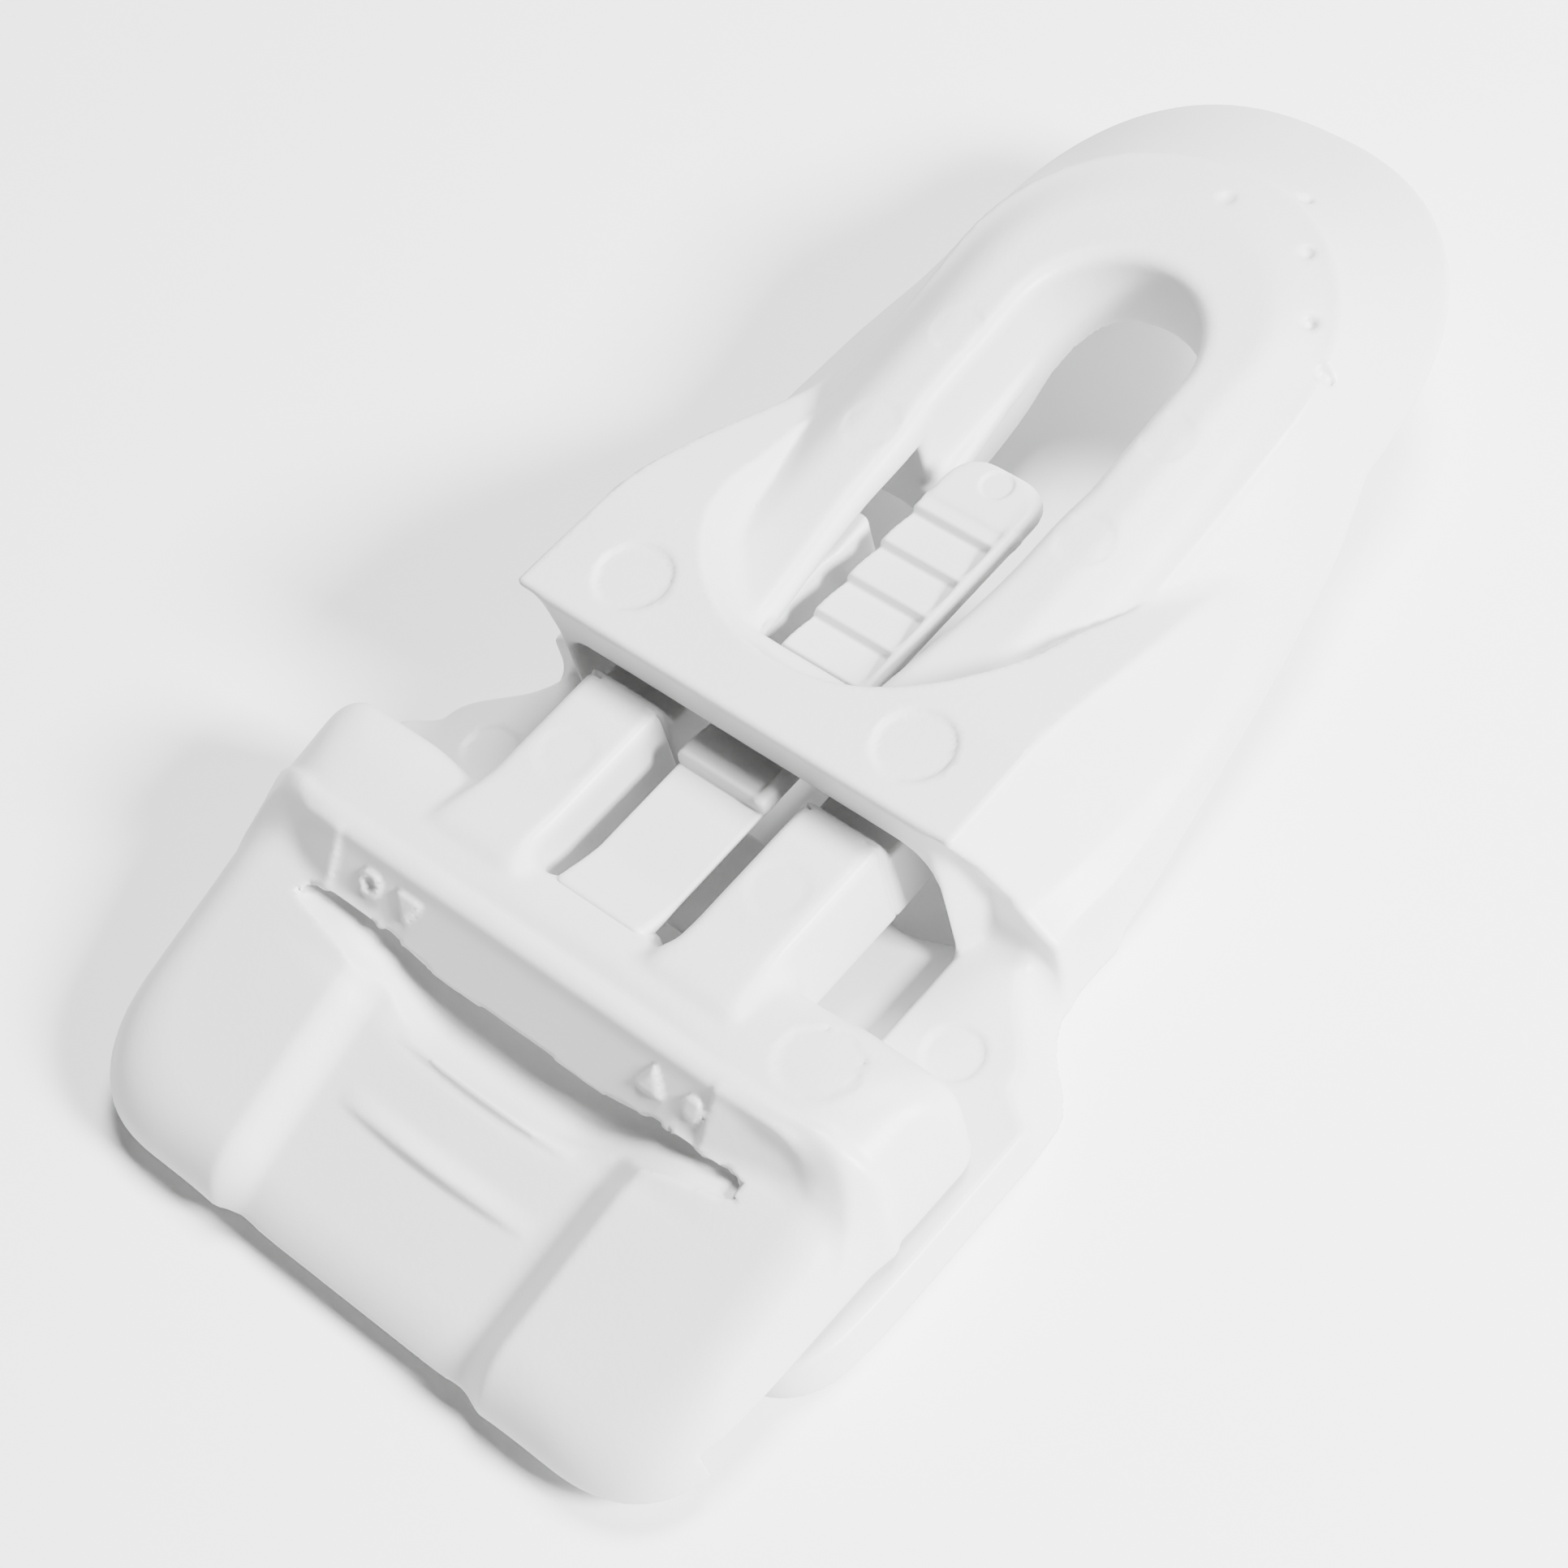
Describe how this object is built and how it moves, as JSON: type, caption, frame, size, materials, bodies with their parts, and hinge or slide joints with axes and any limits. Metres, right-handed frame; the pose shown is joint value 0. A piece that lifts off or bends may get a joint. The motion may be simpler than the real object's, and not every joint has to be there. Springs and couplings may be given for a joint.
{
  "type": "sliding latch clip",
  "caption": "Moulded plastic latch clip with a slotted eye, a cross bridge, a sliding clamp jaw on guide legs and a sprung ratchet tongue.",
  "frame": {"origin": "bottom centre of the whole clip's box at rest, on the face that it lies on", "axes": "+X is the clip's width, to the right seen from the front face with the eye up; +Y runs along the clip from the thumb end to the eye; +Z points out of the front face"},
  "size_m": [0.0522, 0.0984, 0.0175],
  "materials": {
    "frame_plastic": "satin moulded white",
    "slider_plastic": "satin moulded white"
  },
  "bodies": {
    "frame": {"bridge": "frame_plastic", "eye_rim": "frame_plastic", "eye_skirt": "frame_plastic", "left_arm": "frame_plastic", "right_arm": "frame_plastic", "left_cheek": "frame_plastic", "right_cheek": "frame_plastic", "back_jaw": "frame_plastic", "left_slot_rail": "frame_plastic", "right_slot_rail": "frame_plastic", "ratchet_pawl": "frame_plastic"},
    "slider": {"jaw_shell": "slider_plastic", "nose_lip": "slider_plastic", "mark_bar": "slider_plastic", "left_guide_leg": "slider_plastic", "right_guide_leg": "slider_plastic", "grip_ribs": "slider_plastic", "lock_mark": "slider_plastic", "release_mark": "slider_plastic"},
    "tongue": {"tongue_beam": "slider_plastic", "ratchet_teeth": "slider_plastic", "tongue_tip": "slider_plastic"}
  },
  "joints": [
    {"name": "jaw_slide", "type": "slide", "parent": "frame", "child": "slider", "axis": [0, 1, 0], "range_m": [-0.0096, 0.0048]},
    {"name": "tongue_flex", "type": "hinge", "parent": "slider", "child": "tongue", "pos_m": [0, -0.0228, 0.01], "axis": [-1, 0, 0], "range_deg": [0, 5], "stiffness_Nm_per_rad": 0.2}
  ]
}
